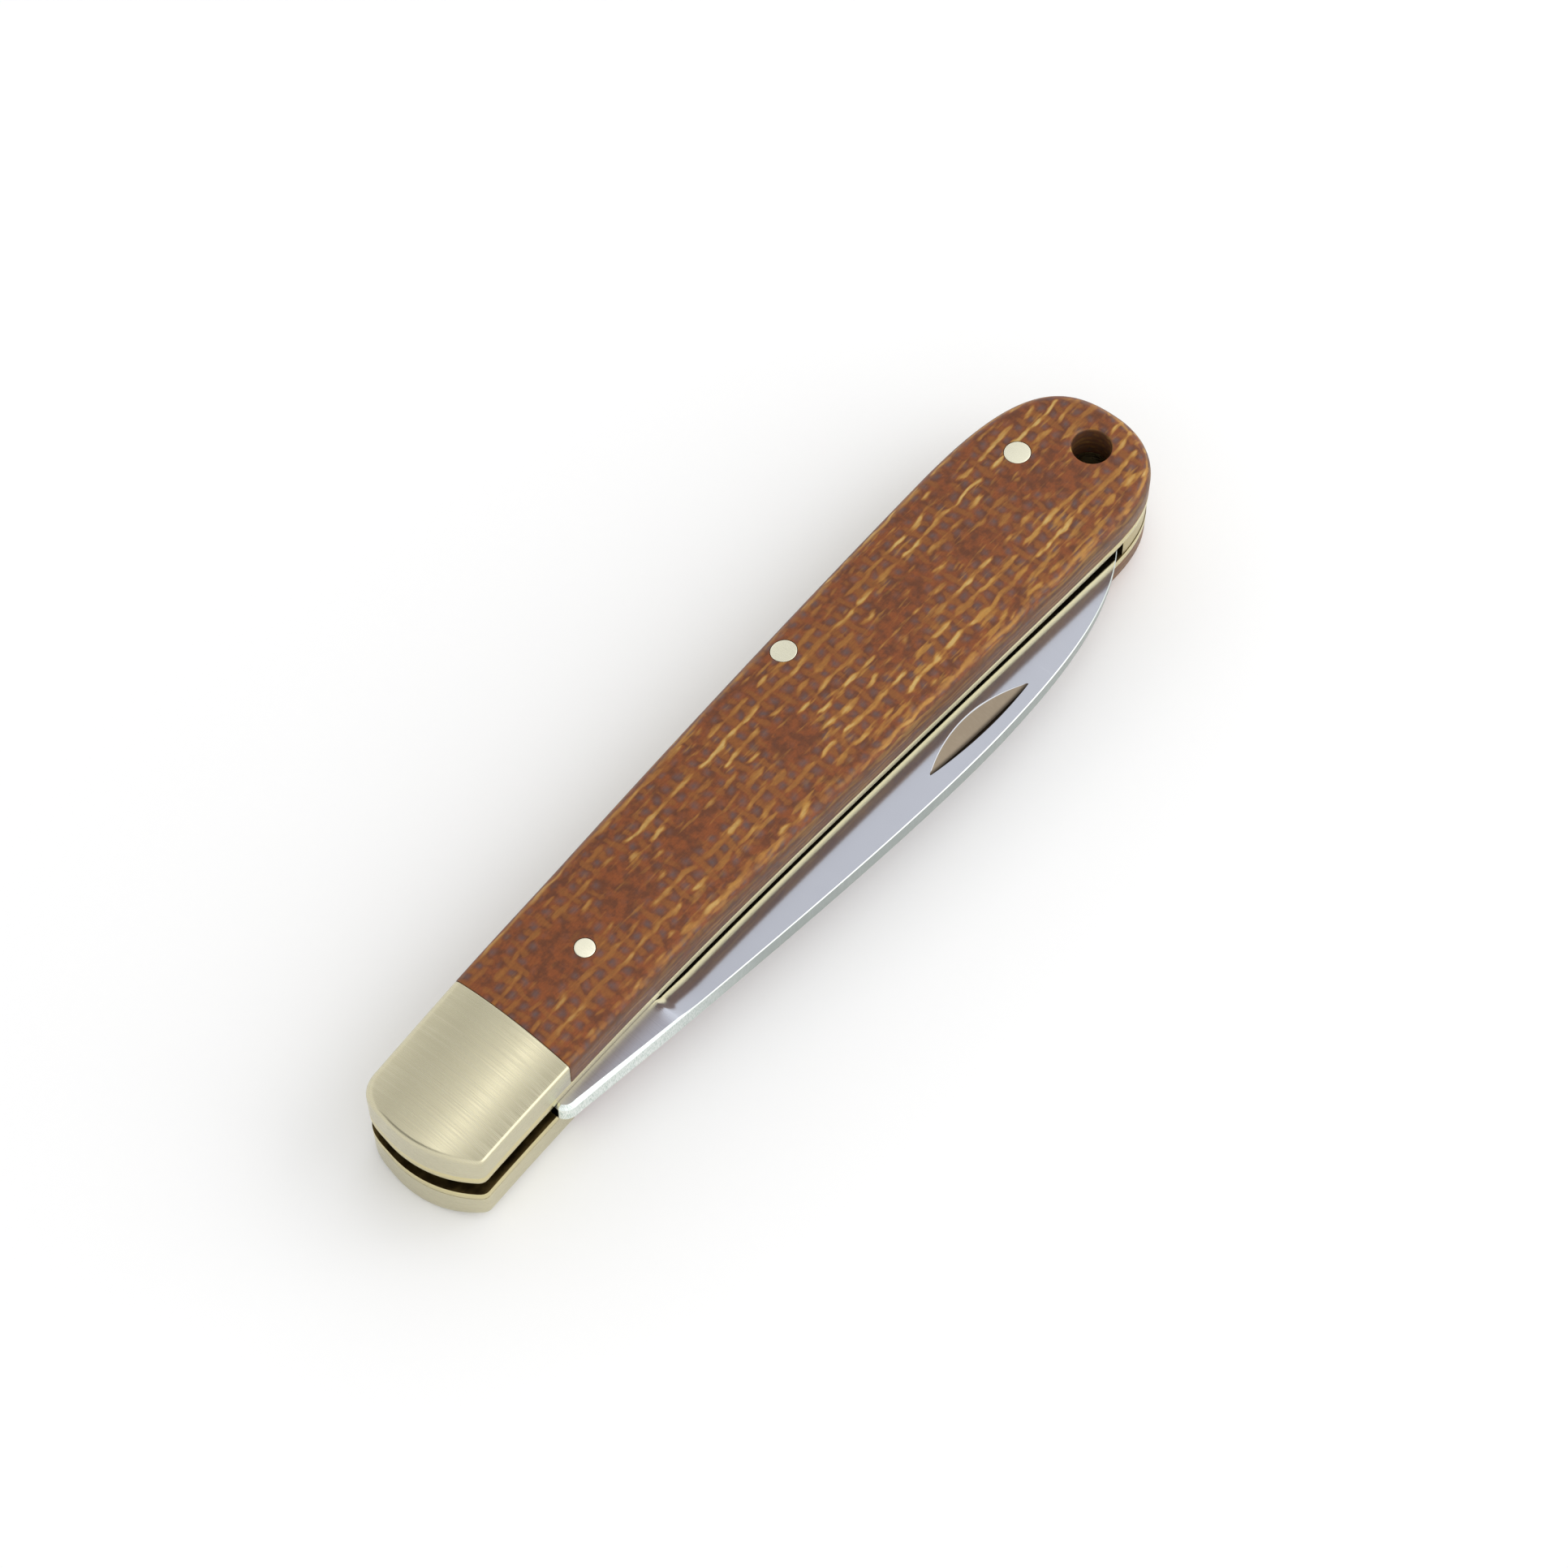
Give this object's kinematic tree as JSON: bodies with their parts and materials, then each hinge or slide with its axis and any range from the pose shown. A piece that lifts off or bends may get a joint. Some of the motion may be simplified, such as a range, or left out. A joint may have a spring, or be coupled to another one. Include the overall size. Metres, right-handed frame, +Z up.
{
  "type": "slip joint pocket knife",
  "caption": "Closed slip-joint pocket knife on its side, with brass bolsters and liners, brown burlap scales, a steel backspring and a flat-ground blade that folds out.",
  "frame": {"origin": "The flat of the lower scale that the closed knife lies on, on the handle's crown line, 47.1 mm behind the blade's pivot.", "axes": "+X along the handle from the pivot end to the butt, +Y from the edge where the blade comes out to the back, +Z up through the knife's thickness."},
  "size_m": [0.1086, 0.0241, 0.0131],
  "materials": {
    "blade_steel": "satin, ground along the blade's length on the flats and across on the spine",
    "spring_steel": "satin, ground along its length",
    "bolster_brass": "satin, rubbed across the handle",
    "liner_brass": "satin, edges ground with the handle",
    "pin_brass": "polished flush with the scales",
    "micarta": "satin burlap laminate, the weave showing as golden threads in brown resin"
  },
  "bodies": {
    "handle": {"backspring": "spring_steel", "liner_top": "liner_brass", "liner_bottom": "liner_brass", "bolster_top": "bolster_brass", "bolster_bottom": "bolster_brass", "scale_top": "micarta", "scale_bottom": "micarta", "pivot_pin": "pin_brass", "spring_middle_pin": "pin_brass", "spring_end_pin": "pin_brass", "scale_pin_top": "pin_brass", "scale_pin_bottom": "pin_brass", "bolster_rivet_top_front": "pin_brass", "bolster_rivet_bottom_front": "pin_brass", "bolster_rivet_top_back": "pin_brass", "bolster_rivet_bottom_back": "pin_brass"},
    "blade": {"blade": "blade_steel"}
  },
  "joints": [
    {"name": "blade_pivot", "type": "hinge", "parent": "handle", "child": "blade", "pos_m": [-0.0471, -0.0005, 0.00653], "axis": [0, 0, -1], "range_deg": [0, 175]}
  ]
}
